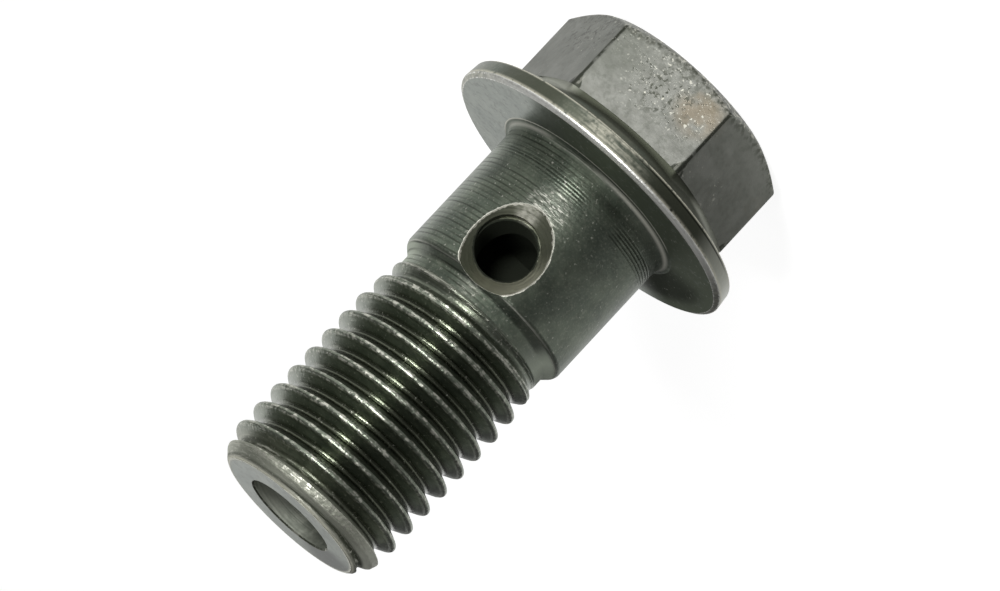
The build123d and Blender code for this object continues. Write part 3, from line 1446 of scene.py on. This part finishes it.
        # in the order of their places, because drilling leaves them in another order in each run
        rim = sorted({v for e in self.sink_rim(bm) for v in e.verts}, key=lambda v: v.co[:])
        bmesh.ops.remove_doubles(bm, verts=rim, dist=self.rim_weld)
        edges = self.sink_rim(bm)
        before = sum(e.calc_length() for e in edges)
        broken = bevel(bm, edges, self.rim_break, 2, held=True)
        area = sum(f.calc_area() for f in broken)
        log.info("rim of the countersink: %d edges, %.3f mm wide", len(edges), area / max(before, 1))
        for f in broken:
            f.material_index = Surface.RUBBED

    def build(self) -> bpy.types.Object:
        """Builds and dresses the bolt.

        Returns:
            The finished object, at the origin.
        """
        bm = self.blank()
        for f in bm.faces:
            f.material_index = self.surface_at(f)
            f.smooth = True
        mesh = saved(bm, "banjo_bolt_steel")
        for finish in FINISHES:
            mesh.materials.append(finish.material())
        bolt = put("banjo_bolt_steel", mesh)
        bolt.data = self.drill(bolt)
        bm = bmesh.new()
        bm.from_mesh(bolt.data)
        self.break_edges(bm)
        worn = bm.verts.layers.float.new("wear")
        for v in bm.verts:
            v[worn] = self.wear_at(v.co)
        for e in bm.edges:
            marks = {f.material_index for f in e.link_faces}
            across = len(marks) == 2 and marks & {Surface.RUBBED, Surface.FACED, Surface.FORGED}
            e.smooth = e.calc_face_angle(0.0) < math.radians(SHARP) and not across
        bmesh.ops.scale(bm, vec=(MM, MM, MM), verts=bm.verts)
        bm.to_mesh(bolt.data)
        bm.free()
        for old in [m for m in bpy.data.meshes if m.users == 0]:
            bpy.data.meshes.remove(old)
        weighted = bolt.modifiers.new("weighted_normals", "WEIGHTED_NORMAL")
        weighted.keep_sharp = True
        log.info("%s: %d faces", bolt.name, len(bolt.data.polygons))
        return bolt


@dataclass
class Studio:
    """Floor, world, lamps and camera."""

    floor_z: float = -7.0
    floor_size: float = 2.0  # metres from its middle to each side
    card: str = "b4b4b4"
    white: float = 0.88  # glow of the table, which its lit colour brings to 1
    # what the bolt mirrors of that glow, which fades out one way and comes in again another: azimuth, from
    # and to in millimetres, and the share at each
    pools: tuple = ((-160.0, 1.0, 21.0, 1.0, 0.0), (125.0, 12.0, 36.0, 0.0, 0.65))
    room: float = 0.12
    # azimuth, elevation, half angle of the even part, half angle of the whole, strength
    panels: tuple = ((52, 10, 16, 34, 1.2), (0, 5, 35, 85, 0.12))
    # softboxes: name, place, size and power
    lamps: tuple = (("flash", (23, -445, 75), 60, 1.2), ("key", (-12, -339, 220), 80, 0.55))
    lit_z: float = 8.0  # they face this height on the bolt's axis
    camera_at: tuple = (-88.17, -332.99, 90.45)
    camera_right: tuple = (-0.7484, 0.0312, -0.6625)
    camera_up: tuple = (0.6151, -0.3412, -0.7108)
    lens: float = 259.3
    clip: tuple = (0.01, 20.0)  # metres

    def camera(self) -> None:
        """Places the camera and makes it the scene's."""
        data = bpy.data.cameras.new("camera")
        data.lens = self.lens
        data.sensor_width = 36
        data.sensor_fit = "HORIZONTAL"
        data.clip_start, data.clip_end = self.clip
        right, up = Vector(self.camera_right).normalized(), Vector(self.camera_up)
        back = right.cross(up).normalized()
        up = back.cross(right)
        place = Matrix((right, up, back)).transposed().to_4x4()
        place.translation = Vector(self.camera_at) * MM
        camera = put("camera", data)
        camera.matrix_world = place
        bpy.context.scene.camera = camera

    def table_top(self) -> bpy.types.Material:
        """Matt white card that is seen white and takes the bolt's shadow, and that the bolt mirrors in pools.

        Returns:
            The material.
        """
        made = bpy.data.materials.new("matt_white_card")
        tree = empty_tree(made)
        card = add_node(tree, "BsdfDiffuse", {"Color": linear(self.card)})
        place = add_node(tree, "TexCoord").outputs["Object"]
        path = add_node(tree, "LightPath").outputs
        levels = []
        for azimuth, near, far, *ends in self.pools:
            out = add_node(tree, "VectorMath", {0: place, 1: aim(azimuth)}, operation="DOT_PRODUCT")
            ramp = {"Value": out.outputs["Value"], "From Min": near * MM, "From Max": far * MM}
            ramp |= {"To Min": ends[0], "To Max": ends[1]}
            levels.append(add_node(tree, "MapRange", ramp, interpolation_type="SMOOTHSTEP"))
        pool = add_node(tree, "Math", {0: levels[0], 1: levels[1]}, operation="MAXIMUM")
        rays = {0: path["Is Glossy Ray"], 1: path["Is Transmission Ray"]}
        mirrored = add_node(tree, "Math", rays, operation="MAXIMUM")
        lit = add_node(tree, "Math", {0: mirrored, 1: pool}, operation="MULTIPLY")
        seen = add_node(tree, "Math", {0: lit, 1: path["Is Camera Ray"]}, operation="MAXIMUM")
        level = add_node(tree, "Math", {0: seen, 1: self.white}, operation="MULTIPLY")
        glow = add_node(tree, "Emission", {"Color": (1, 1, 1, 1), "Strength": level})
        add_node(tree, "OutputMaterial", {"Surface": add_node(tree, "AddShader", {0: card, 1: glow})})
        return made

    def floor(self) -> bpy.types.Object:
        """Lays the table under the bolt.

        Returns:
            The table.
        """
        bm = bmesh.new()
        bmesh.ops.create_grid(bm, x_segments=1, y_segments=1, size=self.floor_size)
        bmesh.ops.translate(bm, verts=bm.verts, vec=(0, 0, self.floor_z * MM))
        mesh = saved(bm, "floor")
        mesh.materials.append(self.table_top())
        return put("floor", mesh)

    def world(self) -> None:
        """A dim room with a tall window and a pale wall."""
        world = bpy.data.worlds.new("studio")
        tree = empty_tree(world)
        direction = add_node(tree, "TexCoord").outputs["Generated"]
        total = add_node(tree, "Value").outputs[0]
        total.default_value = self.room
        for azimuth, elevation, inner, outer, strength in self.panels:
            both = {0: direction, 1: aim(azimuth, elevation)}
            near = add_node(tree, "VectorMath", both, operation="DOT_PRODUCT").outputs["Value"]
            whole, even = math.cos(math.radians(outer)), math.cos(math.radians(inner))
            edge = {"Value": near, "From Min": whole, "From Max": even, "To Max": strength}
            soft = add_node(tree, "MapRange", edge, interpolation_type="SMOOTHSTEP")
            total = add_node(tree, "Math", {0: total, 1: soft}, operation="ADD").outputs[0]
        glow = add_node(tree, "Background", {"Color": (1, 1, 1, 1), "Strength": total})
        add_node(tree, "OutputWorld", {"Surface": glow})
        bpy.context.scene.world = world

    def softbox(self, name: str, at: tuple, size: float, watts: float) -> None:
        """Hangs a square softbox that faces the bolt.

        Args:
            name: the lamp's name.
            at: its place.
            size: its width and height.
            watts: its power.
        """
        data = bpy.data.lights.new(name, "AREA")
        data.shape = "RECTANGLE"
        data.size = data.size_y = size * MM
        data.energy = watts
        lamp = put(name, data)
        lamp.location = Vector(at) * MM
        toward = Vector((0, 0, self.lit_z * MM)) - lamp.location
        lamp.rotation_euler = toward.to_track_quat("-Z", "Z").to_euler()

    def build(self) -> bpy.types.Object:
        """Sets up everything round the bolt.

        Returns:
            The floor.
        """
        self.camera()
        self.world()
        for lamp in self.lamps:
            self.softbox(*lamp)
        bpy.context.scene.view_settings.view_transform = "Standard"
        return self.floor()


def main() -> None:
    """Builds the bolt and its studio."""
    logging.basicConfig(level=logging.INFO)
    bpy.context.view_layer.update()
    bolt = BanjoBolt().build()
    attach(bolt, "root")
    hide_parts("banjo_bolt")
    log.info("dressed %s", bolt.name)
    Studio().build()


if __name__ == "__main__":
    main()
